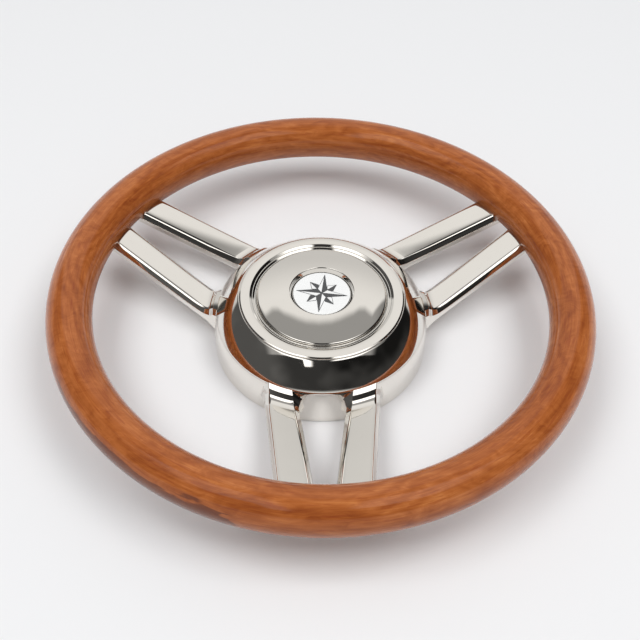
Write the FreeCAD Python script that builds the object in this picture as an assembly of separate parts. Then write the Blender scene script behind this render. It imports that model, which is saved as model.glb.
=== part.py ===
import FreeCAD, Part
import math, os

# A boat's steering wheel: a varnished wooden rim round a steel hoop, three pairs of
# polished stainless spokes that rise to the rim, a polished hub bowl with a raised
# ring and a stepped push-in cap, and a machined boss with a taper bore inside.
# Millimetres. The origin is the middle of the boss's lower face, where the wheel
# stands. Z runs up the shaft towards the helmsman, and one spoke pair points to -Y.

os.makedirs("parts", exist_ok=True)
V = FreeCAD.Vector
UP = V(0, 0, 1)

# Rim
RIM_OUTER_DIA = 350.0
GRIP_DIA = 29.0
RIM_HEIGHT = 42.0            # middle of the grip above the boss's lower face
HOOP_ROD_DIA = 9.0
HOOP_CLEARANCE = 0.1         # round the rod, filled by glue

# Spokes. "Out" is measured from the wheel's axis. A bar is drawn straight along its own
# axis, which closes in on the middle of its pair towards the rim, and its places along
# that axis are numbered so that they equal out at HUB_STATION.
PAIRS = 3
HUB_STATION = 60.0
PAIR_HALF_AT_HUB = 26.3      # middle of the pair to the middle of a bar
PAIR_HALF_AT_RIM = 15.1
SPOKE_TOP_HEIGHT = 18.3      # long top face, carried down to HUB_STATION
RIM_ENTRY_DROP = 2.5         # the same face below the middle of the grip, at the rim
BAR_WIDTH_AT_HUB = 20.6
BAR_WIDTH_AT_RIM = 22.1
BAR_THICKNESS = 6.5
BAR_SIDE_DRAFT_DEG = 18.0    # the sides lean in towards the top
BAR_TOP_ROUND = 1.8
BAR_BOTTOM_ROUND = 1.0
ROOT_HEIGHT = 25.6           # flat top of the raised root
ROOT_START = 57.0
ROOT_END = 65.5              # where the flat top starts to fall
ROOT_FALL_DEG = 45.0
ROOT_TOP_ROUND = 2.5
ROOT_FOOT_ROUND = 6.0        # bend at the foot of the fall
ROOT_TAIL_DEG = 20.0         # slope at which that bend opens out
ROOT_TAIL_ROUND = 14.0
ROOT_TOP_WIDTH = 12.8
ROOT_BEVEL_HEIGHT = 5.1      # bevels along both sides of the root's top
ROOT_FLARE_WIDTH = 27.0      # under the bevels, at ROOT_START
ROOT_NECK = 69.0
ROOT_NECK_WIDTH = 18.8       # under the bevels, at ROOT_NECK
ROOT_TOE = 79.0
ROOT_TOE_WIDTH = 13.4        # narrower than the bar's top, which it runs out on
ROOT_DIP = 0.05              # the bend runs out this far under the bar's top
FOOT_START = 34.0
FOOT_THICKNESS = 6.0
SPOKE_CLEARANCE = 0.2        # in the bowl's windows and the rim's pockets

# Hub plate, which carries the spokes, and the boss on the shaft
PLATE_DIA = 120.0
PLATE_BOTTOM = 4.0
PLATE_THICKNESS = 5.0
BOSS_DIA = 36.0
BOSS_LENGTH = 28.0
BOSS_FLANGE_DIA = 58.0
BOSS_FLANGE_THICKNESS = 5.0
BOSS_NECK_DIA = 32.0
BOSS_CLEARANCE = 0.1
SHAFT_DIA = 19.05            # large end of the taper
TAPER_PER_MM = 1.0 / 12.0
REGISTER_DIA = 22.0          # straight mouth below the taper
REGISTER_DEPTH = 5.0
KEY_WIDTH = 4.8
KEY_DEPTH = 2.4
EDGE_BREAK = 0.6

# Hub bowl, a spun shell. Its curve starts flat at the lip and turns down in three
# bends until the wall is nearly upright. A tilt of 90 faces up, 0 faces outwards.
BOWL_WALL = 1.5
BOWL_FOOT = 0.4              # gap under its edge, so that the boss carries the wheel
LIP_HEIGHT = 40.5
LIP_INSET = 0.5              # the flat lip ends this far inside the ring's edge
LIP_BEND = 5.0
CROWN_TILT = 54.0
CROWN_BEND = 52.0
SHOULDER_TILT = 36.0
SHOULDER_BEND = 18.0
WALL_TILT = 1.0

# Raised ring on the bowl. It surrounds the cap, with a groove between the two.
GROOVE_WIDTH = 3.8
GROOVE_DEPTH = 2.3           # below the lip
RING_WIDTH = 8.2
RING_EDGE_HEIGHT = 1.2       # upright edge that shows above the lip
RING_CREST = 1.6
RING_EDGE_ROUND = 0.6
RING_INNER_LEAN = 0.6        # the inner side leans over the groove
COLLAR_WALL = 1.7
COLLAR_DEPTH = 11.0
LEDGE_WIDTH = 2.0
LEDGE_THICKNESS = 2.0
RING_FIT = 0.2

# Centre cap, pushed into the ring and held by a rubber ring in its groove
CAP_DOME_DIA = 82.0
CAP_PLUG_STEP = 1.8          # the plug is wider than the dome by this on the radius
CAP_FIT = 0.2                # between plug and ring, on the radius
CAP_EDGE_HEIGHT = 0.7        # dome's edge above the lip
CAP_DOME_RADIUS = 150.0
CAP_EDGE_ROUND = 2.0
CAP_EDGE_FLARE = 0.2         # the dome's side widens by this down to the groove
RECESS_EDGE_ROUND = 0.9
CAP_WALL = 2.0
CAP_PLUG_WALL = 3.4
SEAL_SECTION_DIA = 2.0
SEAL_HEIGHT = 3.0            # above the plug's lower end
SEAL_SLOT_WIDTH = 2.4

# Badge in the cap's recess: a white disc with a plain eight point compass rose
RECESS_DIA = 41.2
RECESS_FLOOR_DIA = 37.6
RECESS_DEPTH = 3.3
BADGE_THICKNESS = 0.8
BADGE_FIT = 0.2
ROSE_LONG = 16.8
ROSE_LONG_WAIST = 4.5        # corner between two long points
ROSE_SHORT = 12.3
ROSE_SHORT_WAIST = 7.7       # corner of a short point, beside the long one
ROSE_LINE = 0.3              # dark line round each light half
ROSE_THICKNESS = 0.15
ROSE_TURN_DEG = -8.0

# Fasteners
SPOKE_SCREW_DIA = 5.0
SPOKE_SCREW_INSET = 3.6      # first screw from the end of a spoke's foot
SPOKE_SCREW_PITCH = 5.8
SPOKE_SCREW_ROWS = 2
BOSS_SCREW_DIA = 5.0
BOSS_SCREWS = 6
BOSS_SCREW_CIRCLE_DIA = 47.0
LIP_SCREW_DIA = 4.0
LIP_SCREW_LENGTH = 8.0
PILLAR_DIA = 7.0
PILLARS = 3
PILLAR_SPIGOT_DIA = 4.0
SCREW_HEAD_RATIO = 1.8       # head across its top, in shank diameters
SOCKET_RATIO = 0.62          # hexagon across its corners, in shank diameters
SOCKET_DEPTH_RATIO = 0.8     # in heights of the head's cone
THREAD_CLEARANCE = 0.05

# Worked out from the sizes above
RIM_RADIUS = (RIM_OUTER_DIA - GRIP_DIA) / 2
PLATE_TOP = PLATE_BOTTOM + PLATE_THICKNESS
BAR_RUN = math.hypot(RIM_RADIUS - HUB_STATION, PAIR_HALF_AT_HUB - PAIR_HALF_AT_RIM)
BAR_END = HUB_STATION + BAR_RUN + GRIP_DIA
BAR_CLOSING_DEG = math.degrees(
    math.atan2(PAIR_HALF_AT_HUB - PAIR_HALF_AT_RIM, RIM_RADIUS - HUB_STATION))
RISE = (RIM_HEIGHT - RIM_ENTRY_DROP - SPOKE_TOP_HEIGHT) / BAR_RUN
DRAFT = math.tan(math.radians(BAR_SIDE_DRAFT_DEG))
CAP_DOME_R = CAP_DOME_DIA / 2
CAP_PLUG_R = CAP_DOME_R + CAP_PLUG_STEP
RING_BORE_R = CAP_PLUG_R + CAP_FIT
RING_INNER_R = CAP_DOME_R + GROOVE_WIDTH
RING_OUTER_R = RING_INNER_R + RING_WIDTH
LIP_FLAT_RADIUS = RING_OUTER_R - LIP_INSET
COLLAR_R = RING_BORE_R + COLLAR_WALL
PILLAR_CIRCLE_R = (COLLAR_R + RING_FIT + LIP_FLAT_RADIUS) / 2
COLLAR_BOTTOM = LIP_HEIGHT - COLLAR_DEPTH
LEDGE_TOP = COLLAR_BOTTOM + LEDGE_THICKNESS
GROOVE_FLOOR = LIP_HEIGHT - GROOVE_DEPTH
PAIR_ANGLES = [-90.0 + 360.0 * i / PAIRS for i in range(PAIRS)]
PILLAR_ANGLES = [90.0 + 360.0 * i / PILLARS for i in range(PILLARS)]


def save(name, *solids):
    shape = solids[0] if len(solids) == 1 else Part.makeCompound(list(solids))
    shape.exportStep("parts/%s.step" % name)


def turn(shape, degrees):
    """The shape, turned about the wheel's axis."""
    copy = shape.copy()
    copy.rotate(V(0, 0, 0), UP, degrees)
    return copy


def around(radius, degrees, height=0.0):
    a = math.radians(degrees)
    return V(radius * math.cos(a), radius * math.sin(a), height)


class Outline:
    """A closed outline in the plane through the axis, drawn from point to point."""

    def __init__(self, x, z):
        self.first = self.at = V(x, 0, z)
        self.edges = []

    def line(self, x, z):
        to = V(x, 0, z)
        self.edges.append(Part.makeLine(self.at, to))
        self.at = to
        return self

    def arc(self, radius, x, z, hollow=False):
        """An arc to (x, z) that bulges to the left of its run, or right if hollow."""
        to = V(x, 0, z)
        chord = to - self.at
        half = chord.Length / 2
        rise = radius - math.sqrt(radius * radius - half * half)
        left = V(-chord.z, 0, chord.x).normalize()
        middle = (self.at + to) * 0.5 + left * (-rise if hollow else rise)
        self.edges.append(Part.Arc(self.at, middle, to).toShape())
        self.at = to
        return self

    def face(self):
        if (self.at - self.first).Length > 1e-6:
            self.line(self.first.x, self.first.z)
        return Part.Face(Part.Wire(self.edges))

    def turned(self):
        return self.face().revolve(V(0, 0, 0), UP, 360)


def round_rings(solid, radius, *places):
    """Fillet the circular edges at the given (radius, height) places."""
    chosen = [e for e in solid.Edges if isinstance(e.Curve, Part.Circle) and any(
        abs(e.Curve.Radius - r) < 0.01 and abs(e.Curve.Center.z - z) < 0.01 for r, z in places)]
    return solid.makeFillet(radius, chosen)


def cylinder(radius, bottom, top, at=V(0, 0, 0)):
    return Part.makeCylinder(radius, top - bottom, V(at.x, at.y, bottom))


def countersunk(shank_dia, bottom, top, at):
    """A countersunk screw and the hole that it needs, flush with the height top."""
    head_r = shank_dia * SCREW_HEAD_RATIO / 2
    shank_r = shank_dia / 2
    head = head_r - shank_r
    cone = Part.makeCone(shank_r, head_r, head, V(at.x, at.y, top - head))
    screw = cylinder(shank_r, bottom, top - head, at).fuse(cone)
    hole_r = shank_r + THREAD_CLEARANCE
    wide = Part.makeCone(hole_r, head_r + THREAD_CLEARANCE, head, V(at.x, at.y, top - head))
    hole = cylinder(hole_r, bottom, top - head, at).fuse(wide)
    socket_r = shank_r * SOCKET_RATIO
    corners = [at + around(socket_r, 60 * i, top) - V(0, 0, at.z) for i in range(7)]
    socket = Part.Face(Part.makePolygon(corners)).extrude(V(0, 0, -head * SOCKET_DEPTH_RATIO))
    return screw.cut(socket).removeSplitter(), hole


# The bars of the spokes, drawn along +X and then set beside the middle of their pair
def bar_top(along):
    return SPOKE_TOP_HEIGHT + RISE * (along - HUB_STATION)


def bar_half_width(along):
    widening = (BAR_WIDTH_AT_RIM - BAR_WIDTH_AT_HUB) / BAR_RUN
    return (BAR_WIDTH_AT_HUB + widening * (along - HUB_STATION)) / 2


def set_in_pair(shape, side):
    """Moves a shape from the bar's own axis to its place in the pair, side -1 or 1."""
    copy = shape.copy()
    copy.rotate(V(HUB_STATION, 0, 0), UP, -side * BAR_CLOSING_DEG)
    copy.translate(V(0, side * PAIR_HALF_AT_HUB, 0))
    return copy


def prism_along(*sections):
    """A solid through (along, corners) sections, whose corners are (half width, height)."""
    wires = []
    for along, corners in sections:
        ring = [V(along, -half, z) for half, z in corners]
        ring += [V(along, half, z) for half, z in corners[::-1]]
        wires.append(Part.makePolygon(ring + ring[:1]))
    return Part.makeLoft(wires, True, True)


def plain_bar(grow):
    """The straight bar with leaning sides, larger all round by grow."""
    def section(along):
        half, top = bar_half_width(along) + grow, bar_top(along) + grow
        return along, [(half, top - BAR_THICKNESS - 2 * grow),
                       (half - BAR_THICKNESS * DRAFT, top)]

    bar = prism_along(section(ROOT_START - grow), section(BAR_END))
    for radius, drop in ((BAR_TOP_ROUND, -grow), (BAR_BOTTOM_ROUND, BAR_THICKNESS + grow)):
        bar = bar.makeFillet(radius, [e for e in bar.Edges if e.Length > BAR_RUN and all(
            abs(v.Z - bar_top(v.X) + drop) < 0.01 for v in e.Vertexes)])
    return bar


def root_side_view(grow):
    """Outline of the raised root from the side, to where its foot runs out on the bar."""
    fall, open_out, rise = (math.radians(d) for d in (
        ROOT_FALL_DEG, ROOT_TAIL_DEG, -math.degrees(math.atan(RISE))))

    def bend(radius, start, stop):
        """The run and the drop of a bend between two downward slopes."""
        return V(radius * (math.sin(stop) - math.sin(start)) * (1 if stop > start else -1), 0,
                 -radius * abs(math.cos(stop) - math.cos(start)))

    top = ROOT_HEIGHT + grow
    shoulder = V(ROOT_END, 0, top) + bend(ROOT_TOP_ROUND, 0, fall)
    foot = bend(ROOT_FOOT_ROUND, fall, open_out)
    tail = bend(ROOT_TAIL_ROUND, open_out, rise)
    over = shoulder + foot + tail
    slope = (over.z - bar_top(over.x) - grow + ROOT_DIP) / (math.tan(fall) + RISE)
    low = shoulder + V(slope, 0, -slope * math.tan(fall))
    toe = low + foot + tail
    under = HUB_STATION + (PLATE_TOP + BAR_THICKNESS - SPOKE_TOP_HEIGHT) / RISE
    view = Outline(ROOT_START - grow, PLATE_TOP - grow)
    view.line(ROOT_START - grow, top).line(ROOT_END, top)
    view.arc(ROOT_TOP_ROUND, shoulder.x, shoulder.z).line(low.x, low.z)
    view.arc(ROOT_FOOT_ROUND, (low + foot).x, (low + foot).z, hollow=True)
    view.arc(ROOT_TAIL_ROUND, toe.x, toe.z, hollow=True)
    view.line(toe.x, toe.z - BAR_THICKNESS / 2).line(under, PLATE_TOP - grow)
    return view.face()


def root(grow):
    """The raised root: it flares towards the bowl and is bevelled along its top."""
    def section(along, width):
        lean = (width - ROOT_TOP_WIDTH) / 2 / ROOT_BEVEL_HEIGHT
        over = ROOT_TOP_ROUND + grow
        return along, [(width / 2 + grow, PLATE_BOTTOM),
                       (width / 2 + grow, ROOT_HEIGHT - ROOT_BEVEL_HEIGHT),
                       (ROOT_TOP_WIDTH / 2 + grow - over * lean, ROOT_HEIGHT + over)]

    flare = prism_along(section(ROOT_START - grow, ROOT_FLARE_WIDTH),
                        section(ROOT_NECK, ROOT_NECK_WIDTH), section(ROOT_TOE, ROOT_TOE_WIDTH))
    slab = root_side_view(grow).extrude(V(0, 2 * ROOT_FLARE_WIDTH, 0))
    slab.translate(V(0, -ROOT_FLARE_WIDTH, 0))
    return slab.common(flare)


def spoke_foot(grow):
    """The flat foot inside the hub, which the screws hold down."""
    half = BAR_WIDTH_AT_HUB / 2 + grow
    return Part.makeBox(ROOT_START - FOOT_START + BAR_THICKNESS + grow, 2 * half,
                        FOOT_THICKNESS + 2 * grow, V(FOOT_START - grow, -half, PLATE_TOP - grow))


def spoke_blank(side, grow=0.0):
    """A spoke of a pair that points to +X, cut off at the middle of the rim."""
    blank = plain_bar(grow).multiFuse([root(grow), spoke_foot(grow)]).removeSplitter()
    above_plate = cylinder(RIM_RADIUS + grow, PLATE_TOP - grow, RIM_HEIGHT + GRIP_DIA)
    return set_in_pair(blank, side).common(above_plate)


def hoop_section():
    hoop = Part.makeTorus(RIM_RADIUS, HOOP_ROD_DIA / 2)
    hoop.translate(V(0, 0, RIM_HEIGHT))
    return hoop


def build_spokes(hoop):
    for side, hand in ((-1, "a"), (1, "b")):
        spoke = spoke_blank(side).cut(hoop)
        for at in spoke_screw_places(side):
            spoke = spoke.cut(spoke_screw(at)[1])
        for angle, way in zip(PAIR_ANGLES, ("front", "right", "left")):
            save("spoke_%s_%s" % (way, hand), turn(spoke, angle))


def cut_spoke_sleeves(shape, sleeves):
    """Cuts the room for every spoke, from the sleeves round one pair."""
    for angle in PAIR_ANGLES:
        for sleeve in sleeves:
            shape = shape.cut(turn(sleeve, angle))
    return shape


def spoke_screw_places(side):
    first = FOOT_START + SPOKE_SCREW_INSET
    places = [Part.Vertex(first + SPOKE_SCREW_PITCH * i, 0, 0) for i in range(SPOKE_SCREW_ROWS)]
    return [set_in_pair(place, side).Point for place in places]


def spoke_screw(at):
    return countersunk(SPOKE_SCREW_DIA, PLATE_BOTTOM, PLATE_TOP + FOOT_THICKNESS, at)


def all_spoke_screws():
    pairs = []
    for angle in PAIR_ANGLES:
        for side in (-1, 1):
            for at in spoke_screw_places(side):
                pairs.append([turn(s, angle) for s in spoke_screw(at)])
    return pairs


# The wooden rim in two glued halves round the hoop
def build_rim(hoop, sleeves):
    save("rim_hoop", hoop)
    wood = Part.makeTorus(RIM_RADIUS, GRIP_DIA / 2)
    channel = Part.makeTorus(RIM_RADIUS, HOOP_ROD_DIA / 2 + HOOP_CLEARANCE)
    tube = wood.cut(channel)
    tube.translate(V(0, 0, RIM_HEIGHT))
    outer = RIM_OUTER_DIA / 2 + 1
    front = tube.common(cylinder(outer, RIM_HEIGHT, RIM_HEIGHT + GRIP_DIA))
    back = tube.common(cylinder(outer, RIM_HEIGHT - GRIP_DIA, RIM_HEIGHT))
    save("rim_front_half", front)
    save("rim_back_half", cut_spoke_sleeves(back, sleeves))


# Boss and hub plate
def boss_screw_holes():
    circle = BOSS_SCREW_CIRCLE_DIA / 2
    top = PLATE_TOP + BOSS_FLANGE_THICKNESS
    return [countersunk(BOSS_SCREW_DIA, PLATE_BOTTOM, top, around(circle, 360.0 * i / BOSS_SCREWS))
            for i in range(BOSS_SCREWS)]


def build_boss(screws):
    body, flange, neck = BOSS_DIA / 2, BOSS_FLANGE_DIA / 2, BOSS_NECK_DIA / 2
    flange_top = PLATE_TOP + BOSS_FLANGE_THICKNESS
    section = Outline(0, 0).line(0, BOSS_LENGTH).line(neck, BOSS_LENGTH).line(neck, flange_top)
    section.line(flange, flange_top).line(flange, PLATE_TOP).line(body, PLATE_TOP).line(body, 0)
    boss = section.turned()
    boss = round_rings(boss, EDGE_BREAK, (neck, BOSS_LENGTH), (flange, flange_top), (body, 0))
    taper = BOSS_LENGTH - REGISTER_DEPTH
    mouth = SHAFT_DIA / 2
    small = mouth - taper * TAPER_PER_MM / 2
    boss = boss.cut(Part.makeCone(mouth, small, taper, V(0, 0, REGISTER_DEPTH)))
    boss = boss.cut(cylinder(REGISTER_DIA / 2, 0, REGISTER_DEPTH))
    keyway = Part.makeBox(KEY_WIDTH, mouth + KEY_DEPTH, taper, V(-KEY_WIDTH / 2, 0, REGISTER_DEPTH))
    boss = boss.cut(keyway)
    for _, hole in screws:
        boss = boss.cut(hole)
    save("hub_boss", boss)


def build_plate(screws, pillars):
    plate = cylinder(PLATE_DIA / 2, PLATE_BOTTOM, PLATE_TOP)
    plate = plate.cut(cylinder(BOSS_DIA / 2 + BOSS_CLEARANCE, 0, PLATE_TOP))
    for _, hole in screws:
        plate = plate.cut(hole)
    for pillar in pillars:
        plate = plate.cut(pillar_hole(pillar))
    save("hub_plate", plate)


# Pillars from the plate up to the bowl's lip, with a screw in the top of each
def pillar_hole(at):
    return cylinder(PILLAR_SPIGOT_DIA / 2 + THREAD_CLEARANCE, PLATE_BOTTOM, PLATE_TOP, at)


def build_pillars(places, screws):
    pillars = []
    for at, (_, hole) in zip(places, screws):
        body = cylinder(PILLAR_DIA / 2, PLATE_TOP, LIP_HEIGHT - BOWL_WALL, at)
        spigot = cylinder(PILLAR_SPIGOT_DIA / 2, PLATE_BOTTOM, PLATE_TOP, at)
        pillars.append(body.fuse(spigot).cut(hole))
    save("hub_pillars", *pillars)


# Hub bowl
def bowl_curve(outline, inset, rising):
    """The bowl's curve at a depth inside its skin, drawn down or, if rising, up."""
    x, z, tilt = LIP_FLAT_RADIUS, LIP_HEIGHT - inset, 90.0
    steps = [(x, z, 0)]
    for bend, end in ((LIP_BEND, CROWN_TILT), (CROWN_BEND, SHOULDER_TILT),
                      (SHOULDER_BEND, WALL_TILT)):
        a, b, r = math.radians(tilt), math.radians(end), bend - inset
        x, z, tilt = x + r * (math.cos(b) - math.cos(a)), z - r * (math.sin(a) - math.sin(b)), end
        steps.append((x, z, r))
    steps.append((x + (z - BOWL_FOOT) * math.tan(math.radians(WALL_TILT)), BOWL_FOOT, 0))
    if rising:
        bends = [s[2] for s in steps]
        steps = [(s[0], s[1], r) for s, r in zip(steps[::-1], [0] + bends[:0:-1])]
    for x, z, r in steps:
        if r:
            outline.arc(r, x, z, hollow=rising)
        else:
            outline.line(x, z)
    return outline


def build_bowl(screws, sleeves):
    mouth = COLLAR_R + RING_FIT
    section = Outline(mouth, LIP_HEIGHT)
    bowl_curve(section, 0.0, rising=False)
    bowl_curve(section, BOWL_WALL, rising=True)
    section.line(mouth, LIP_HEIGHT - BOWL_WALL)
    bowl = cut_spoke_sleeves(section.turned(), sleeves)
    for _, hole in screws:
        bowl = bowl.cut(hole)
    save("hub_bowl", bowl)


# Raised ring, with the collar that the cap is pushed into
def build_ring():
    outer, inner = RING_OUTER_R, RING_INNER_R
    edge = LIP_HEIGHT + RING_EDGE_HEIGHT
    half = RING_WIDTH / 2
    rise = RING_CREST - RING_EDGE_HEIGHT
    crest_radius = (half * half + rise * rise) / (2 * rise)
    section = Outline(RING_BORE_R - LEDGE_WIDTH, COLLAR_BOTTOM)
    section.line(RING_BORE_R - LEDGE_WIDTH, LEDGE_TOP).line(RING_BORE_R, LEDGE_TOP)
    section.line(RING_BORE_R, GROOVE_FLOOR).line(inner - RING_INNER_LEAN, GROOVE_FLOOR)
    section.line(inner, edge).arc(crest_radius, outer, edge).line(outer, LIP_HEIGHT)
    section.line(COLLAR_R, LIP_HEIGHT).line(COLLAR_R, COLLAR_BOTTOM)
    ring = round_rings(section.turned(), RING_EDGE_ROUND, (outer, edge), (inner, edge))
    save("cover_ring", ring)


# Stepped cap with its seal and badge
def dome_height(radius, sink=0.0):
    edge = LIP_HEIGHT + CAP_EDGE_HEIGHT
    drop = math.sqrt(CAP_DOME_RADIUS ** 2 - CAP_DOME_R ** 2)
    return edge - drop + math.sqrt((CAP_DOME_RADIUS - sink) ** 2 - radius * radius)


def recess_floor():
    return dome_height(RECESS_DIA / 2) - RECESS_DEPTH


def build_cap():
    dome_r, recess_r, floor_r = CAP_DOME_R, RECESS_DIA / 2, RECESS_FLOOR_DIA / 2
    edge = LIP_HEIGHT + CAP_EDGE_HEIGHT
    floor = recess_floor()
    skirt_r = CAP_PLUG_R - CAP_PLUG_WALL
    under_r = recess_r + CAP_WALL
    section = Outline(0, floor - CAP_WALL).line(0, floor).line(floor_r, floor)
    section.line(recess_r, dome_height(recess_r)).arc(CAP_DOME_RADIUS, dome_r, edge)
    section.line(dome_r + CAP_EDGE_FLARE, GROOVE_FLOOR).line(CAP_PLUG_R, GROOVE_FLOOR)
    section.line(CAP_PLUG_R, LEDGE_TOP).line(skirt_r, LEDGE_TOP)
    section.line(skirt_r, dome_height(skirt_r, CAP_WALL))
    section.arc(CAP_DOME_RADIUS - CAP_WALL, under_r, dome_height(under_r, CAP_WALL), hollow=True)
    section.line(floor_r + CAP_WALL, floor - CAP_WALL)
    cap = section.turned()
    slot_z = LEDGE_TOP + SEAL_HEIGHT
    slot_r = RING_BORE_R - SEAL_SECTION_DIA
    slot = cylinder(CAP_PLUG_R + 1, slot_z - SEAL_SLOT_WIDTH / 2, slot_z + SEAL_SLOT_WIDTH / 2)
    slot = slot.cut(cylinder(slot_r, slot_z - SEAL_SLOT_WIDTH / 2, slot_z + SEAL_SLOT_WIDTH / 2))
    cap = cap.cut(slot)
    cap = round_rings(cap, CAP_EDGE_ROUND, (dome_r, edge))
    cap = round_rings(cap, RECESS_EDGE_ROUND, (recess_r, dome_height(recess_r)))
    save("centre_cap", cap)
    seal = Part.makeTorus(RING_BORE_R - SEAL_SECTION_DIA / 2, SEAL_SECTION_DIA / 2)
    seal.translate(V(0, 0, slot_z))
    save("cap_seal", seal)


def half_point(index, hand):
    """One half of a point of the compass rose, on the side hand of its middle line."""
    reach, waist, spread = (ROSE_LONG, ROSE_LONG_WAIST, 45.0) if index % 2 == 0 else (
        ROSE_SHORT, ROSE_SHORT_WAIST, 22.5)
    direction = 90.0 + 45.0 * index + ROSE_TURN_DEG
    corners = [V(0, 0, 0), around(reach, direction), around(waist, direction + hand * spread)]
    return Part.Face(Part.makePolygon(corners + corners[:1]))


def build_badge():
    bottom = recess_floor()
    top = bottom + BADGE_THICKNESS
    save("badge_disc", cylinder(RECESS_FLOOR_DIA / 2 - BADGE_FIT, bottom, top))
    long_halves = [half_point(i, hand) for i in (0, 2, 4, 6) for hand in (-1, 1)]
    cross = long_halves[0].multiFuse(long_halves[1:])
    short_halves = [half_point(i, hand).cut(cross) for i in (1, 3, 5, 7) for hand in (-1, 1)]
    star = cross.multiFuse(short_halves).removeSplitter()
    light_halves = [f for half in long_halves[1::2] + short_halves[1::2] for f in half.Faces]
    light = [face for half in light_halves for face in half.makeOffset2D(-ROSE_LINE, 2).Faces]
    dark = star.cut(Part.makeCompound(light))
    for name, faces in (("badge_rose_dark", dark.Faces), ("badge_rose_light", light)):
        solids = [f.extrude(V(0, 0, ROSE_THICKNESS)) for f in faces]
        for solid in solids:
            solid.translate(V(0, 0, top))
        save(name, *solids)


hoop = hoop_section()
sleeves = [spoke_blank(side, SPOKE_CLEARANCE) for side in (-1, 1)]
build_rim(hoop, sleeves)
build_spokes(hoop)

pillar_places = [around(PILLAR_CIRCLE_R, a) for a in PILLAR_ANGLES]
lip_screws = [countersunk(LIP_SCREW_DIA, LIP_HEIGHT - LIP_SCREW_LENGTH, LIP_HEIGHT, at)
              for at in pillar_places]
boss_screws = boss_screw_holes()
spoke_screws = all_spoke_screws()
build_boss(boss_screws)
build_plate(boss_screws + spoke_screws, pillar_places)
build_pillars(pillar_places, lip_screws)
save("boss_screws", *[s for s, _ in boss_screws])
save("spoke_screws", *[s for s, _ in spoke_screws])
save("lip_screws", *[s for s, _ in lip_screws])

build_bowl(lip_screws, sleeves)
build_ring()
build_cap()
build_badge()
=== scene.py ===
import bmesh, bpy, math
from mathutils import Matrix, Vector


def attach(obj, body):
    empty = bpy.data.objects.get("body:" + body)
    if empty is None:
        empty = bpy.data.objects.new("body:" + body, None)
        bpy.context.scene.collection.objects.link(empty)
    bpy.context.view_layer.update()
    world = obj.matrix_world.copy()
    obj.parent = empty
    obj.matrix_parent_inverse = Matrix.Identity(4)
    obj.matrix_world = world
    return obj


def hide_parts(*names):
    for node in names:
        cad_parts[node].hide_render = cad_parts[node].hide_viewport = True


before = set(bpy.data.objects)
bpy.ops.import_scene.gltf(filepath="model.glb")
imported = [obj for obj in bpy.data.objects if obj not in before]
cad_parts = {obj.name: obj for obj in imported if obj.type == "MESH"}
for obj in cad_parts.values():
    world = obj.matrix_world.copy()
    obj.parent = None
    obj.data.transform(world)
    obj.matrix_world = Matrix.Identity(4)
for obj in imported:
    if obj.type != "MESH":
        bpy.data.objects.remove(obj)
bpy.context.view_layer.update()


# Rim: two half rings of figured wood glued together round a steel hoop, turned round and
# sanded, then varnished in many coats until the gloss is thick. The spokes end inside it.
RIM_RADIUS, GRIP_RADIUS, RIM_HEIGHT = 0.1605, 0.0145, 0.042


class Signal:
    """A socket in a node tree. Python's operators on it add Math nodes."""

    def __init__(self, board, socket):
        self.board, self.socket = board, socket

    def __add__(self, other): return self.board.maths("ADD", self, other)
    def __radd__(self, other): return self.board.maths("ADD", other, self)
    def __sub__(self, other): return self.board.maths("SUBTRACT", self, other)
    def __rsub__(self, other): return self.board.maths("SUBTRACT", other, self)
    def __mul__(self, other): return self.board.maths("MULTIPLY", self, other)
    def __rmul__(self, other): return self.board.maths("MULTIPLY", other, self)
    def __truediv__(self, other): return self.board.maths("DIVIDE", self, other)
    def __rtruediv__(self, other): return self.board.maths("DIVIDE", other, self)


class Board:
    """A node tree that is filled node by node."""

    def __init__(self, tree):
        self.tree = tree

    def add(self, kind, settings, sockets, output=0):
        """Adds a node: first its settings, then the values or links of its sockets."""
        node = self.tree.nodes.new(kind)
        for name, value in settings.items():
            if name == "stops":
                for spare in range(len(value) - 2):
                    node.color_ramp.elements.new(0.5)
                for element, (place, colour) in zip(node.color_ramp.elements, value):
                    element.position, element.color = place, (*colour, 1)
            else:
                setattr(node, name, value)
        for key, value in sockets.items():
            self.join(node.inputs[key], value)
        return Signal(self, node.outputs[output])

    def join(self, socket, value):
        if isinstance(value, Signal):
            self.tree.links.new(value.socket, socket)
        else:
            socket.default_value = value

    def maths(self, operation, *values):
        return self.add("ShaderNodeMath", {"operation": operation}, dict(enumerate(values)))

    def step(self, value, low, high):
        """0 below low and 1 above high, with a soft change between them."""
        settings = {"interpolation_type": "SMOOTHSTEP"}
        return self.add("ShaderNodeMapRange", settings, {0: value, 1: low, 2: high})

    def vector(self, x, y, z):
        return self.add("ShaderNodeCombineXYZ", {}, {0: x, 1: y, 2: z})

    def parts(self, vector):
        """The x, y and z of a vector."""
        outputs = self.add("ShaderNodeSeparateXYZ", {}, {0: vector}).socket.node.outputs
        return [Signal(self, outputs[i]) for i in range(3)]

    def noise(self, place, scale, detail=3.0, around=None):
        settings = {"noise_dimensions": "3D" if around is None else "4D"}
        sockets = {"Vector": place, "Scale": scale, "Detail": detail}
        if around is not None:
            sockets["W"] = around
        return self.add("ShaderNodeTexNoise", settings, sockets)

    def blend(self, factor, first, second):
        """A colour between two colours."""
        settings = {"data_type": "RGBA"}
        return self.add("ShaderNodeMix", settings, {0: factor, 6: first, 7: second}, output=2)


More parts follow.
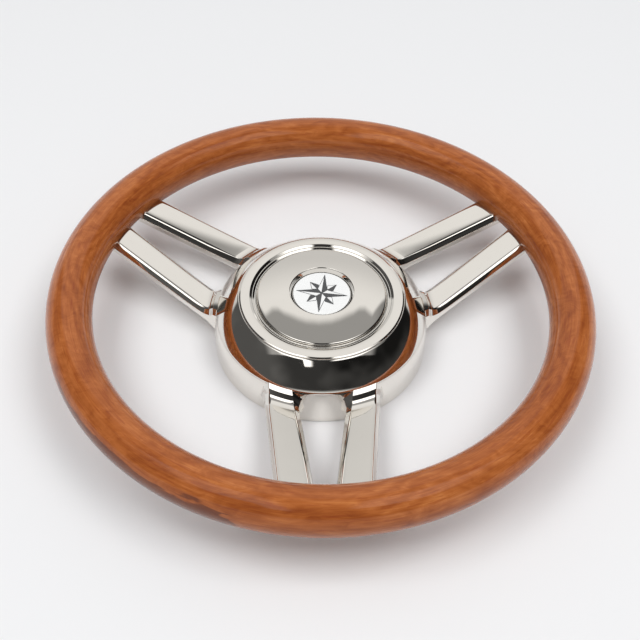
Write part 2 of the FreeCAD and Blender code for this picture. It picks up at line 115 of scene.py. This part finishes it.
class Finish(Board):
    """A material. Its constants are set on the shader's own sockets."""

    def __init__(self, name, **constants):
        self.material = bpy.data.materials.new(name)
        self.material.use_nodes = True
        super().__init__(self.material.node_tree)
        self.shader = self.tree.nodes["Principled BSDF"]
        for socket, value in constants.items():
            self.shader.inputs[socket.replace("_", " ")].default_value = value

    def feed(self, **signals):
        for socket, signal in signals.items():
            self.join(self.shader.inputs[socket.replace("_", " ")], signal)

    def object_place(self):
        """The place on the piece, as a vector."""
        return self.add("ShaderNodeTexCoord", {}, {}, output=3)

    def bump(self, height, distance, strength=1.0):
        sockets = {"Height": height, "Distance": distance, "Strength": strength}
        return self.add("ShaderNodeBump", {}, sockets)


def grown(name, sizes, fill, start=None):
    """A piece made by Geometry Nodes. fill(board, inputs) returns what the tree ends in."""
    tree = bpy.data.node_groups.new(name + "_tree", "GeometryNodeTree")
    board = Board(tree)
    kinds = {int: "NodeSocketInt", float: "NodeSocketFloat",
             bpy.types.Material: "NodeSocketMaterial"}
    tree.interface.new_socket("Geometry", in_out="INPUT", socket_type="NodeSocketGeometry")
    keys = {size: tree.interface.new_socket(size, in_out="INPUT",
                                            socket_type=kinds[type(value)])
            for size, value in sizes.items()}
    tree.interface.new_socket("Geometry", in_out="OUTPUT", socket_type="NodeSocketGeometry")
    given = tree.nodes.new("NodeGroupInput")
    inputs = {size: Signal(board, given.outputs[size]) for size in ("Geometry", *sizes)}
    shape = fill(board, inputs)
    shape = board.add("GeometryNodeRealizeInstances", {}, {"Geometry": shape})
    shape = board.add("GeometryNodeSetMaterial", {},
                      {"Geometry": shape, "Material": inputs["Material"]})
    tree.links.new(shape.socket, tree.nodes.new("NodeGroupOutput").inputs[0])
    piece = bpy.data.objects.new(name, start or bpy.data.meshes.new(name))
    bpy.context.scene.collection.objects.link(piece)
    modifier = piece.modifiers.new("grown", "NODES")
    modifier.node_group = tree
    for size, value in sizes.items():
        modifier[keys[size].identifier] = value
    bpy.context.view_layer.update()
    mesh = bpy.data.meshes.new_from_object(
        piece.evaluated_get(bpy.context.evaluated_depsgraph_get()))
    piece.modifiers.remove(modifier)
    piece.data = mesh
    return piece


wood = Finish("varnished_wood", Roughness=0.45, Coat_Weight=1.0, Coat_Roughness=0.07,
              Coat_IOR=1.33, Specular_IOR_Level=0.1)
x, y, z = wood.parts(wood.object_place())
turn = wood.maths("ARCTAN2", y, x)
ahead, aside = wood.maths("COSINE", turn), wood.maths("SINE", turn)
outwards = wood.maths("SQRT", x * x + y * y) - RIM_RADIUS
upwards = z - RIM_HEIGHT


def along_rim(across, length, detail=3.0, drift=0.0):
    """Noise drawn out along the rim: its size across and along the grain, in metres."""
    reach = RIM_RADIUS / length
    flat = wood.vector(outwards / across + drift, upwards / across - drift, ahead * reach)
    return wood.noise(flat, 1.0, detail, around=aside * reach)


sway = along_rim(0.034, 0.075, 2.0)
swirl = along_rim(0.012, 0.026, 2.0, drift=3.7)
rings = outwards * 95.0 + upwards * 62.0 + sway * 7.0 + swirl * 2.2
ring = wood.maths("SINE", rings * 6.283) * 0.5 + 0.5
fibre = along_rim(0.0006, 0.016, 3.0)
mottle = along_rim(0.0017, 0.034, 3.0, drift=8.1)
cloud = along_rim(0.011, 0.090, 2.0, drift=5.2)
across = wood.vector(x * 60.0, y * 330.0 + swirl * 9.0, z * 260.0 + sway * 12.0)
curl = wood.noise(across, 1.0, 3.0)     # figure that crosses the grip at the wheel's sides
tone = 0.5 + 0.12 * (ring - 0.5) + 0.30 * (fibre - 0.5) + 0.26 * (mottle - 0.5)
tone = tone + 0.42 * (curl - 0.5) + 0.46 * (cloud - 0.5)
colour = wood.add("ShaderNodeValToRGB", {"stops": (
    (0.28, (0.240, 0.052, 0.011)), (0.45, (0.345, 0.091, 0.019)),
    (0.58, (0.425, 0.124, 0.030)), (0.76, (0.550, 0.190, 0.054)))}, {0: tone})
fleck = wood.step(along_rim(0.0013, 0.012, 2.0, drift=11.3) * 0.6 + curl * 0.4, 0.55, 0.63)
colour = wood.blend(fleck * 0.42, colour, (0.250, 0.044, 0.011, 1))
pore = wood.step(along_rim(0.0004, 0.007, 2.0, drift=2.9), 0.60, 0.72)
colour = wood.blend(pore * 0.25, colour, (0.14, 0.030, 0.006, 1))
# A darker patch with a ragged edge, on the grip's outer, lower side at the front left.
DARK_PATCH_START, DARK_PATCH_END = math.radians(-156.0), math.radians(-107.0)
ragged = along_rim(0.006, 0.030, 4.0, drift=6.6) - 0.5
dark_patch = wood.step(turn + ragged * 0.20, DARK_PATCH_START, DARK_PATCH_START + 0.05)
dark_patch = dark_patch * (1.0 - wood.step(turn + ragged * 0.35, DARK_PATCH_END - 0.012, DARK_PATCH_END))
dark_patch = dark_patch * wood.step(outwards * 0.85 - upwards * 0.53 + ragged * 0.014, 0.0080, 0.0087)
colour = wood.blend(dark_patch * 0.72, colour, (0.105, 0.027, 0.012, 1))
wood.feed(Base_Color=colour, Normal=wood.bump(fibre, 0.00003, 0.4))


def swept_rim(board, size):
    circle = "GeometryNodeCurvePrimitiveCircle"
    path = board.add(circle, {}, {"Resolution": 640, "Radius": size["Rim radius"]})
    section = board.add(circle, {}, {"Resolution": 72, "Radius": size["Grip radius"]})
    tube = board.add("GeometryNodeCurveToMesh", {}, {"Curve": path, "Profile Curve": section})
    lift = board.vector(0.0, 0.0, size["Height"])
    tube = board.add("GeometryNodeTransform", {}, {"Geometry": tube, "Translation": lift})
    return board.add("GeometryNodeSetShadeSmooth", {}, {"Geometry": tube})


rim = grown("rim_wood", {"Rim radius": RIM_RADIUS, "Grip radius": GRIP_RADIUS,
                         "Height": RIM_HEIGHT, "Material": wood.material}, swept_rim)
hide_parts("rim_front_half", "rim_back_half")
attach(rim, "root")


# Hub bowl: one spun shell of stainless steel, mirror polished. Its curve starts flat at
# the lip under the ring and turns down in four bends until the wall is nearly upright.
class Outline:
    """An outline in millimetres, drawn as a lathe tool runs: straight or round a bend. The
    tilt is where the skin faces: 0 outwards, 90 up, 180 inwards. Its inner side may follow
    as plain corners."""

    def __init__(self, x, z, tilt=90.0):
        self.points, self.tilt = [(x, z)], math.radians(tilt)

    def run(self, length):
        """A straight run, with points close to both ends so that the polish stays flat."""
        x, z = self.points[-1]
        near = min(0.12, length / 3)
        for reach in (near, length - near, length):
            self.points.append((x + reach * math.sin(self.tilt), z - reach * math.cos(self.tilt)))
        return self

    def run_out(self, x):
        return self.run((x - self.points[-1][0]) / math.sin(self.tilt))

    def run_down(self, z):
        return self.run((self.points[-1][1] - z) / math.cos(self.tilt))

    def bend(self, radius, tilt):
        """Turns the skin to a new tilt: a round edge where it falls, a hollow where it rises."""
        x, z = self.points[-1]
        a, b = self.tilt, math.radians(tilt)
        round_edge = radius if b < a else -radius
        steps = max(5, int(abs(math.degrees(b - a)) / 1.5), int(abs(b - a) * radius))
        for i in range(1, steps + 1):
            t = a + (b - a) * i / steps
            self.points.append((x + round_edge * (math.cos(t) - math.cos(a)),
                                z + round_edge * (math.sin(t) - math.sin(a))))
        self.tilt = b
        return self

    def corners(self, *places):
        self.points += places
        return self


def closed_skin(mesh, material, sharp):
    """Turns all faces of a mesh outwards and shades it smooth up to a sharp angle."""
    form = bmesh.new()
    form.from_mesh(mesh)
    bmesh.ops.recalc_face_normals(form, faces=form.faces)
    form.to_mesh(mesh)
    form.free()
    mesh.shade_smooth()
    mesh.set_sharp_from_angle(angle=math.radians(sharp))
    mesh.materials.append(material)


def turned(name, outline, material, steps=400):
    """Turns an outline about Z into a closed mesh. Points on the axis become poles."""
    points, rings, faces = [], [], []
    for radius, height in outline.points:
        if radius < 1e-6:
            rings.append([len(points)] * steps)
            points.append((0.0, 0.0, height / 1000))
            continue
        rings.append(range(len(points), len(points) + steps))
        for i in range(steps):
            a = 2 * math.pi * i / steps
            points.append((radius * math.cos(a) / 1000, radius * math.sin(a) / 1000,
                           height / 1000))
    for low, high in zip(rings, rings[1:] + rings[:1]):
        for i in range(steps):
            j = (i + 1) % steps
            corners = list(dict.fromkeys((low[i], high[i], high[j], low[j])))
            if len(corners) > 2:
                faces.append(corners)
    mesh = bpy.data.meshes.new(name)
    mesh.from_pydata(points, [], faces)
    closed_skin(mesh, material, 32)
    piece = bpy.data.objects.new(name, mesh)
    bpy.context.scene.collection.objects.link(piece)
    return piece


polished_steel = Finish("polished_steel", Metallic=1.0)
place = polished_steel.object_place()
haze = polished_steel.noise(place, 55.0, 3.0)
wipe = polished_steel.noise(place, 900.0, 2.0)
polished_steel.feed(
    Roughness=0.025 + 0.035 * haze + 0.012 * wipe,
    Base_Color=polished_steel.blend(haze, (0.85, 0.825, 0.78, 1), (0.82, 0.793, 0.745, 1)),
    Normal=polished_steel.bump(haze, 0.00002, 0.25))

BOWL_MOUTH, LIP_RADIUS, LIP_HEIGHT, BOWL_FOOT, BOWL_WALL = 45.0, 53.0, 40.5, 0.4, 1.5
BOWL_BENDS = (2.6, 54.0), (62.0, 36.0), (5.0, 12.0), (60.0, 1.0)    # radius, then tilt
skin = Outline(BOWL_MOUTH, LIP_HEIGHT).run_out(LIP_RADIUS)
inside = Outline(BOWL_MOUTH, LIP_HEIGHT - BOWL_WALL).run_out(LIP_RADIUS)
for radius, tilt in BOWL_BENDS:
    skin.bend(radius, tilt)
    inside.bend(radius - BOWL_WALL, tilt)
skin.run_down(BOWL_FOOT)
inside.run_down(BOWL_FOOT)
bowl = turned("bowl", skin.corners(*inside.points[::-1]), polished_steel.material)
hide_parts("hub_bowl")
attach(bowl, "root")


# Raised ring: turned from stainless bar and polished, nearly flat, with soft edges. Its
# inner side runs down into the groove round the cap, and its collar holds the cap.
RING_BORE, GROOVE_LEVEL = 43.0, 39.55
COLLAR_RADIUS, COLLAR_FOOT, LEDGE_RADIUS, LEDGE_LEVEL = 44.7, 29.5, 41.0, 31.5
crest = Outline(RING_BORE, GROOVE_LEVEL).run_out(RING_BORE + 0.15).bend(0.8, 117).run(1.6)
crest.bend(9.0, 121).run(1.2).bend(1.2, 97.0)               # up the side of the groove
crest.bend(22.0, 83.0).bend(0.4, 65).run(0.8)               # over the crest to its outer edge
crest.bend(0.35, 3).run_down(LIP_HEIGHT)
crest.corners((COLLAR_RADIUS, LIP_HEIGHT), (COLLAR_RADIUS, COLLAR_FOOT),
              (LEDGE_RADIUS, COLLAR_FOOT), (LEDGE_RADIUS, LEDGE_LEVEL),
              (RING_BORE, LEDGE_LEVEL))
ring_piece = turned("ring", crest, polished_steel.material)
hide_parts("cover_ring")
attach(ring_piece, "root")


# Cap: a shallow turned dome with a recess for the badge, pushed into the ring's collar
# and gripped there by a rubber ring. Stainless steel, polished.
RECESS_RADIUS, RECESS_FLOOR, DOME_CURVE, PLUG_RADIUS = 18.8, 42.1, 150.0, 42.7
HOLLOW_RADIUS, HOLLOW_ROOF = 39.4, 40.1                     # the cap is hollow from below
cap_outline = Outline(0.0, RECESS_FLOOR).run_out(RECESS_RADIUS)
cap_outline.bend(0.3, 151).run(3.0).bend(0.9, 82.2)         # up to the dome's inner edge
cap_outline.bend(DOME_CURVE, 74.6).bend(1.5, 8).run(0.3)    # dome and its outer edge
cap_outline.bend(0.6, 90).run_out(PLUG_RADIUS)              # floor of the groove
cap_outline.corners((PLUG_RADIUS, LEDGE_LEVEL), (HOLLOW_RADIUS, LEDGE_LEVEL),
                    (HOLLOW_RADIUS, 38.0), (38.0, 39.6), (22.6, 43.1),
                    (20.8, HOLLOW_ROOF), (0.0, HOLLOW_ROOF))
cap = turned("cap", cap_outline, polished_steel.material)
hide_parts("centre_cap")
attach(cap, "root")


# Spokes: three pairs of forged and polished stainless bars. A raised root, bevelled and
# flared to the bowl, falls through an S-bend that was turned about the wheel's axis to the
# long bar, which rises to the rim. Places on a bar are (radius from the axis, across it).
BAR_MIDDLE, BAR_CLOSING = 32.98, 0.1114     # middle of a pair to the bar, and per millimetre
BAR_START, BAR_LEVEL, BAR_RISE, BAR_THICKNESS = 65.5, 18.3, 0.245, 7.8
ROOT_START, ROOT_LEVEL, ROOT_EDGE, RIM_END = 62.0, 28.7, 71.3, 161.0
BAR_STEPS, CROWN_STEPS = 32, 8              # along the bar, and across its crowned top
CORNER_STEPS = 12
root_line = Outline(ROOT_START, ROOT_LEVEL, tilt=67.0).run_out(ROOT_EDGE)
root_line.bend(0.9, 46).run(2.3)                            # the fall from the root
root_line.bend(3.5, 68).bend(9.0, 84).bend(10.0, 90 + math.degrees(math.atan(BAR_RISE)))


def bar_level(radius):
    """Height of a bar's long top face."""
    return BAR_LEVEL + BAR_RISE * (radius - BAR_START)


def along_bar(radius, *stops):
    """A size that changes evenly between (radius, size) stops."""
    for (near, low), (far, high) in zip(stops, stops[1:]):
        if radius <= far:
            return low + (high - low) * max(0.0, radius - near) / (far - near)
    return stops[-1][1]


def rounded(corners):
    """Points round a section whose (across, height, radius) corners are rounded."""
    places = [Vector(corner[:2]) for corner in corners]
    found = []
    for i, (here, corner) in enumerate(zip(places, corners)):
        back, on = places[i - 1] - here, places[(i + 1) % len(places)] - here
        half = back.angle(on) / 2
        reach = min(corner[2] / math.tan(half), 0.46 * back.length, 0.46 * on.length)
        radius = reach * math.tan(half)
        hub = here + (back.normalized() + on.normalized()).normalized() * radius / math.sin(half)
        start, end = here + back.normalized() * reach, here + on.normalized() * reach
        found.append(start.lerp(places[i - 1], min(0.1, 0.02 * back.length)))
        for k in range(CORNER_STEPS + 1):
            ray = (start - hub).lerp(end - hub, k / CORNER_STEPS).normalized() * radius
            found.append(hub + ray)
        found.append(end.lerp(places[(i + 1) % len(places)], min(0.1, 0.02 * on.length)))
    return found


def bar_section(radius, top):
    """Points round a bar at one radius. The inner side of the pair is negative."""
    level = bar_level(radius)
    half = 10.5 + 0.010 * (radius - ROOT_START)
    inner_top = along_bar(radius, (62, -6.7), (71.5, -6.8), (98, 3.2 - half))
    inner_side = along_bar(radius, (62, -18.0), (70, -12.4), (75, -10.2), (98, 0.3 - half))
    inner_drop = along_bar(radius, (62, 7.0), (70, 4.5), (73, 3.5), (77, 2.8), (98, 3.1))
    outer_top = along_bar(radius, (62, 7.1), (71.5, 7.2), (84, half - 3.1))
    outer_side = along_bar(radius, (62, 10.6), (70, 10.0), (74.5, 10.0), (84, half - 0.3))
    outer_drop = along_bar(radius, (62, 3.6), (70, 2.8), (84, 3.0))
    inner_foot = along_bar(radius, (62, -19.5), (70, -14.0), (76, -11.0), (84, -half))
    outer_foot = along_bar(radius, (62, 16.5), (70, 12.6), (76, 10.9), (84, half))
    inner_soft = along_bar(radius, (71, 0.5), (80, 1.2), (98, 4.2))
    outer_soft = along_bar(radius, (71, 0.5), (84, 4.2))
    low_soft = along_bar(radius, (71, 0.5), (84, 1.2))
    low = level - BAR_THICKNESS
    points = rounded([
        (inner_foot, low, 1.0), (outer_foot, low, 1.0),
        (outer_side, top - outer_drop, low_soft), (outer_top, top, outer_soft),
        (inner_top, top, inner_soft), (inner_side, top - inner_drop, low_soft)])
    top_end = 4 * (CORNER_STEPS + 3)        # first point after the top, in the fifth corner
    flat = points[top_end - 1], points[top_end]
    points[top_end:top_end] = [flat[0].lerp(flat[1], k / CROWN_STEPS)
                               for k in range(1, CROWN_STEPS)]
    crown = along_bar(radius, (72, 0.0), (90, 1 / 200))
    return [Vector((p.x, p.y - crown * p.x * p.x if p.y > low + 4 else p.y)) for p in points]


def bar_mesh():
    lift = bar_level(root_line.points[-1][0]) - root_line.points[-1][1]
    stations = [(radius, height + lift) for radius, height in root_line.points]
    start = stations[-1][0]
    stations += [(radius, bar_level(radius)) for radius in (
        start + (RIM_END - start) * i / BAR_STEPS for i in range(1, BAR_STEPS + 1))]
    points, faces = [], []
    for radius, top in stations:
        for p in (section := bar_section(radius, top)):
            side = BAR_MIDDLE + p.x
            g = BAR_CLOSING
            out = (side * g + math.sqrt(radius * radius * (1 + g * g) - side * side)) / (1 + g * g)
            points.append((out / 1000, (side - g * out) / 1000, p.y / 1000))
    size, rows = len(section), len(stations)
    for i in range(rows - 1):
        for k in range(size):
            m = (k + 1) % size
            faces.append((i * size + k, (i + 1) * size + k, (i + 1) * size + m, i * size + m))
    faces += [tuple(range(size)), tuple(range((rows - 1) * size, rows * size))]
    mesh = bpy.data.meshes.new("bar")
    mesh.from_pydata(points, [], faces)
    closed_skin(mesh, polished_steel.material, 28)
    return mesh


def spoke_pairs(board, size):
    flip = {"Scale": (1.0, -1.0, 1.0)}
    other = board.add("GeometryNodeTransform", {}, {"Geometry": size["Geometry"], **flip})
    other = board.add("GeometryNodeFlipFaces", {}, {"Mesh": other})
    pair = board.add("GeometryNodeJoinGeometry", {}, {})
    board.tree.links.new(size["Geometry"].socket, pair.socket.node.inputs[0])
    board.tree.links.new(other.socket, pair.socket.node.inputs[0])
    middle = board.add("GeometryNodePoints", {}, {"Count": size["Pairs"]})
    index = board.add("GeometryNodeInputIndex", {}, {})
    angle = size["First angle"] + index * (math.tau / size["Pairs"])
    sockets = {"Points": middle, "Instance": pair, "Rotation": board.vector(0.0, 0.0, angle)}
    return board.add("GeometryNodeInstanceOnPoints", {}, sockets)


spokes = grown("spokes", {"Pairs": 3, "First angle": -math.pi / 2,
                          "Material": polished_steel.material}, spoke_pairs, bar_mesh())
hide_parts(*["spoke_%s_%s" % (way, hand) for way in ("front", "right", "left")
                      for hand in "ab"])
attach(spokes, "root")


# Hub inside the bowl: boss, plate, pillars and screws, stainless steel as it comes from
# the lathe, and the hoop inside the rim. Below the cap sits its black rubber ring.
def dress(node, material):
    """Gives a piece of the frame its material and leaves its shape alone."""
    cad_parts[node].data.materials.clear()
    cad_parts[node].data.materials.append(material)


satin_steel = Finish("satin_steel", Metallic=1.0)
place = satin_steel.object_place()
x, y, z = satin_steel.parts(place)
radius = satin_steel.maths("SQRT", x * x + y * y)
cuts = satin_steel.noise(satin_steel.vector(radius, 0.0, z), 2600.0, 2.0)
stain = satin_steel.noise(place, 60.0, 4.0)
satin_steel.feed(
    Roughness=0.26 + 0.14 * stain + 0.08 * cuts,
    Base_Color=satin_steel.blend(stain, (0.62, 0.61, 0.59, 1), (0.50, 0.49, 0.475, 1)),
    Normal=satin_steel.bump(cuts, 0.00001, 0.6))
for name in ("hub_boss", "hub_plate", "hub_pillars", "boss_screws", "spoke_screws",
             "lip_screws", "rim_hoop"):
    dress(name, satin_steel.material)

black_rubber = Finish("black_rubber", Specular_IOR_Level=0.4)
bloom = black_rubber.noise(black_rubber.object_place(), 700.0, 4.0)
black_rubber.feed(Roughness=0.55 + 0.25 * bloom,
                  Base_Color=black_rubber.blend(bloom, (0.012, 0.012, 0.013, 1),
                                                (0.03, 0.03, 0.032, 1)))
dress("cap_seal", black_rubber.material)


# Badge: a white enamelled disc lying in the cap's recess, with a thin dark ring round its edge,
# and a plain eight point compass rose in enamel, half of each point dark.
DISC_RADIUS, DISC_TOP, DISC_GAP = 18.2, 42.95, 0.05


def enamel(name, colour, worn):
    finish = Finish(name, Coat_Weight=1.0, Coat_Roughness=0.03)
    peel = finish.noise(finish.object_place(), 380.0, 3.0)
    finish.feed(Base_Color=finish.blend(peel, colour, worn), Roughness=0.25 + 0.2 * peel,
                Normal=finish.bump(peel, 0.00002, 0.3))
    return finish.material


white_enamel = enamel("white_enamel", (0.92, 0.92, 0.91, 1), (0.87, 0.87, 0.86, 1))
dark_enamel = enamel("dark_enamel", (0.020, 0.022, 0.026, 1), (0.035, 0.038, 0.042, 1))
disc_foot = RECESS_FLOOR + DISC_GAP
disc_outline = Outline(0.0, DISC_TOP).run_out(DISC_RADIUS).bend(0.2, 0).run_down(disc_foot)
disc = turned("badge", disc_outline.corners((0.0, disc_foot)), white_enamel, 240)
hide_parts("badge_disc")
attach(disc, "root")
# A thin dark ring round the disc's edge, in the black rubber finish.
BADGE_EDGE_INNER, BADGE_EDGE_TOP, BADGE_EDGE_FOOT = 18.0, RECESS_FLOOR + 0.45, RECESS_FLOOR + 0.03
edge_line = Outline(BADGE_EDGE_INNER, BADGE_EDGE_TOP).run_out(BADGE_EDGE_INNER + 0.35).bend(0.3, 0)
edge_line.run_down(BADGE_EDGE_FOOT).corners((BADGE_EDGE_INNER, BADGE_EDGE_FOOT))
edge_ring = turned("badge_edge_ring", edge_line, black_rubber.material, 240)
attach(edge_ring, "root")
dress("badge_rose_dark", dark_enamel)
dress("badge_rose_light", white_enamel)


# Studio: a pale floor, two wide soft lamps overhead, and a room that is bright behind
# the wheel and above it and dark on the camera's side, which the polished steel shows.
floor_mesh = bpy.data.meshes.new("floor")
floor_mesh.from_pydata([(-4, -4, 0), (4, -4, 0), (4, 4, 0), (-4, 4, 0)], [], [(0, 1, 2, 3)])
floor = bpy.data.objects.new("floor", floor_mesh)
bpy.context.scene.collection.objects.link(floor)
pale_floor = Finish("pale_floor", Base_Color=(0.86, 0.86, 0.865, 1), Roughness=0.7)
floor_mesh.materials.append(pale_floor.material)

for hand in (-1, 1):
    lamp = bpy.data.lights.new("overhead", "AREA")
    lamp.shape, lamp.size, lamp.size_y, lamp.energy = "RECTANGLE", 1.4, 1.8, 33.0
    lamp_object = bpy.data.objects.new("overhead", lamp)
    lamp_object.location = (1.25 * hand, -0.4, 2.6)
    lamp_object.visible_glossy = False
    bpy.context.scene.collection.objects.link(lamp_object)

world = bpy.data.worlds.new("room")
world.use_nodes = True
world.node_tree.nodes.clear()
bpy.context.scene.world = world
room = Board(world.node_tree)
direction = room.add("ShaderNodeTexCoord", {}, {}, output=0)
dx, dy, dz = room.parts(direction)
side = room.maths("ABSOLUTE", dx)
height = room.maths("ARCTAN2", dz, -1.0 * dy) * 57.3     # degrees up from the camera's side


def lay(under, over, mask):
    """Light from one thing laid over another where mask is 1."""
    return under + (over - under) * mask


def band(value, low, high, soft):
    """1 between low and high."""
    past = room.step(value, high - soft, high + soft)
    return room.step(value, low - soft, low + soft) * (1.0 - past)


# The bright part of the room starts edge_turn degrees up from the camera's side.
edge_turn = room.add("ShaderNodeValToRGB", {"stops": tuple(
    (at, (degrees / 180.0,) * 3) for at, degrees in (
        (0.0, 112.0), (0.10, 113.0), (0.16, 115.0), (0.22, 118.0), (0.26, 120.0), (0.30, 123.5),
        (0.34, 124.5), (0.38, 122.5), (0.40, 122.0), (0.45, 135.0), (0.57, 150.0), (0.62, 155.0),
        (0.72, 158.0), (1.0, 165.0)))}, {0: side}) * 180.0
low_down = 1.0 - room.step(dz, 0.12, 0.20)
backdrop = 0.90 - 0.24 * room.step(height, 130.0, 160.0)
backdrop = backdrop + 0.75 * band(side, 0.44, 0.72, 0.06) * low_down

# The dark side with soft patches, then the grey ceiling and the bright strip under it.
glow = 0.009 + 0.028 * (1.0 - room.step(dx, -0.05, 0.35))
glow = glow + 0.05 * (1.0 - room.step(dx, -0.72, -0.42))
glow = glow + 0.035 * room.step(room.noise(direction, 1.5, 2.0), 0.45, 0.70)
near_middle = 1.0 - room.step(side, 0.64, 0.74)
ceiling = room.step(height, 97.0, 99.5) * (1.0 - room.step(side, 0.40, 0.56))
glow = lay(glow, 0.35, ceiling)
flag = 64.0 - 13.0 * band(dx, -0.25, -0.10, 0.02)
bank = room.step(height, flag - 1.0, flag + 1.0) * (1.0 - room.step(height, 96.0, 98.5))
bank = bank * near_middle * room.step(side, 0.10, 0.17)
bank = bank * (1.0 - 0.82 * room.step(side, 0.42, 0.60))
glow = lay(glow, 1.75, bank)
glow = lay(glow, backdrop, room.step(height, edge_turn - 3.2, edge_turn + 3.2))
glow = lay(glow, 0.80, 1.0 - room.step(height, 19.0, 23.0))
rays = room.add("ShaderNodeLightPath", {}, {}).socket.node.outputs
diffuse, seen = Signal(room, rays["Is Diffuse Ray"]), Signal(room, rays["Is Camera Ray"])
overhead = 0.09 + 0.56 * room.maths("MAXIMUM", dz, 0.0)
strength = lay(lay(glow, overhead, diffuse), 0.93, seen)
tint = room.blend(diffuse, (1.0, 0.985, 0.965, 1), (0.965, 0.98, 1.0, 1))
background = room.add("ShaderNodeBackground", {}, {"Color": tint, "Strength": strength})
output = room.tree.nodes.new("ShaderNodeOutputWorld")
room.join(output.inputs[0], background)


# Camera: it stands in front of the wheel and looks down on it at the photograph's angle,
# with a slight turn and roll.
camera = bpy.data.cameras.new("camera")
camera.sensor_width, camera.lens, camera.clip_start = 36.0, 57.89, 0.01
camera_object = bpy.data.objects.new("camera", camera)
camera_object.matrix_world = (
    Matrix.Translation((-0.0002, 0.0, RIM_HEIGHT))
    @ Matrix.Rotation(math.radians(-2.18), 4, "Z")
    @ Matrix.Rotation(math.radians(41.52), 4, "X")
    @ Matrix.Rotation(math.radians(1.823), 4, "Z")
    @ Matrix.Translation((-0.00092, -0.01666, 0.6642)))
bpy.context.scene.collection.objects.link(camera_object)
bpy.context.scene.camera = camera_object
bpy.context.scene.view_settings.view_transform = "Standard"
